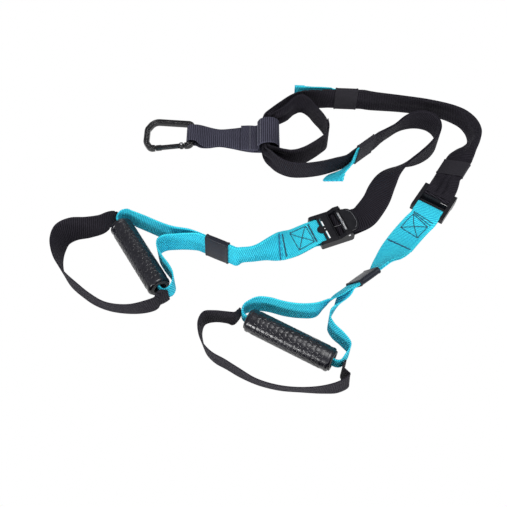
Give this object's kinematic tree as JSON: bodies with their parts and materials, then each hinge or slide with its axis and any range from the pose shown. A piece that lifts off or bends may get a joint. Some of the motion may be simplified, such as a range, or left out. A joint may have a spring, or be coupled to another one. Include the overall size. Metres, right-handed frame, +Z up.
{
  "type": "suspension trainer",
  "caption": "Suspension trainer laid flat: carabiner, anchor strap, adjustable legs with cam buckles, handle straps, grips and foot cradles.",
  "frame": {"origin": "middle of the layout's outline, on the surface it lies on", "axes": "+Z up from that surface, +X from the left handle toward the right leg's outer bend, +Y toward the anchor end"},
  "size_m": [0.614, 0.5026, 0.0455],
  "materials": {
    "black_webbing": "woven, dull",
    "blue_webbing": "woven, dull",
    "black_metal": "satin black coating",
    "chrome_axle": "polished",
    "spring_steel": "plain drawn wire",
    "grip_rubber": "moulded, small raised hexagons",
    "core_plastic": "matt",
    "slider_rubber": "moulded, satin"
  },
  "bodies": {
    "webbing": {"anchor_strap": "black_webbing", "equaliser_loop": "black_webbing", "left_leg_strap": "black_webbing", "right_leg_strap": "black_webbing", "left_return_strap": "black_webbing", "right_return_strap": "black_webbing", "left_pull_tab": "blue_webbing", "right_pull_tab": "blue_webbing", "left_handle_strap": "blue_webbing", "right_handle_strap": "blue_webbing", "left_buckle_frame": "black_metal", "right_buckle_frame": "black_metal", "left_cam_axle": "chrome_axle", "right_cam_axle": "chrome_axle", "left_cam_spring": "spring_steel", "right_cam_spring": "spring_steel"},
    "carabiner": {"carabiner_body": "black_metal", "gate_pin": "spring_steel"},
    "gate": {"carabiner_gate": "black_metal", "gate_spring": "spring_steel"},
    "left_lever": {"left_cam_lever": "black_metal"},
    "right_lever": {"right_cam_lever": "black_metal"},
    "left_grip_tube": {"left_grip": "grip_rubber", "left_grip_core": "core_plastic"},
    "right_grip_tube": {"right_grip": "grip_rubber", "right_grip_core": "core_plastic"},
    "left_cradle": {"left_foot_cradle": "black_webbing"},
    "right_cradle": {"right_foot_cradle": "black_webbing"},
    "left_slider": {"left_strap_slider": "slider_rubber"},
    "right_slider": {"right_strap_slider": "slider_rubber"},
    "left_sleeve": {"left_tab_sleeve": "black_webbing"},
    "right_sleeve": {"right_tab_sleeve": "black_webbing"},
    "keeper": {"keeper_sleeve": "black_webbing"}
  },
  "joints": [
    {"name": "carabiner_swing", "type": "hinge", "parent": "webbing", "child": "carabiner", "pos_m": [-0.1277, 0.1744, 0.0078], "axis": [0, 1, 0], "range_deg": [0, 120]},
    {"name": "gate_hinge", "type": "hinge", "parent": "carabiner", "child": "gate", "pos_m": [-0.14229, 0.1529, 0.00714], "axis": [0.0454, 0, -0.999], "range_deg": [0, 28], "stiffness_Nm_per_rad": 0.03, "springref_deg": -17.19},
    {"name": "left_cam", "type": "hinge", "parent": "webbing", "child": "left_lever", "pos_m": [0.09114, 0.00648, 0.014], "axis": [0.3584, -0.9336, 0], "range_deg": [0, 50], "stiffness_Nm_per_rad": 0.03, "springref_deg": -17.19},
    {"name": "right_cam", "type": "hinge", "parent": "webbing", "child": "right_lever", "pos_m": [0.23339, 0.05469, 0.0035], "axis": [-0.829, 0.5592, 0], "range_deg": [0, 50], "stiffness_Nm_per_rad": 0.03, "springref_deg": -17.19},
    {"name": "left_grip_spin", "type": "hinge", "parent": "webbing", "child": "left_grip_tube", "pos_m": [-0.18667, -0.05165, 0.016], "axis": [0.5255, -0.8508, 0], "continuous": true},
    {"name": "right_grip_spin", "type": "hinge", "parent": "webbing", "child": "right_grip_tube", "pos_m": [0.01273, -0.17678, 0.016], "axis": [0.8738, -0.4863, 0], "continuous": true},
    {"name": "left_cradle_swing", "type": "hinge", "parent": "webbing", "child": "left_cradle", "pos_m": [-0.18667, -0.05165, 0.016], "axis": [-0.5255, 0.8508, 0], "range_deg": [0, 100]},
    {"name": "right_cradle_swing", "type": "hinge", "parent": "webbing", "child": "right_cradle", "pos_m": [0.01273, -0.17678, 0.016], "axis": [-0.8738, 0.4863, 0], "range_deg": [0, 100]},
    {"name": "left_slider_slide", "type": "slide", "parent": "webbing", "child": "left_slider", "axis": [-0.9026, 0.4305, 0], "range_m": [-0.004, 0.004]},
    {"name": "right_slider_slide", "type": "slide", "parent": "webbing", "child": "right_slider", "axis": [-0.788, -0.6157, 0], "range_m": [-0.004, 0.004]},
    {"name": "left_sleeve_slide", "type": "slide", "parent": "webbing", "child": "left_sleeve", "axis": [-0.7547, -0.6561, 0], "range_m": [-0.003, 0.003]},
    {"name": "right_sleeve_slide", "type": "slide", "parent": "webbing", "child": "right_sleeve", "axis": [-0.9986, 0.0523, 0], "range_m": [-0.003, 0.003]},
    {"name": "keeper_slide", "type": "slide", "parent": "webbing", "child": "keeper", "axis": [0.5446, 0.8387, 0], "range_m": [-0.003, 0.003]}
  ]
}
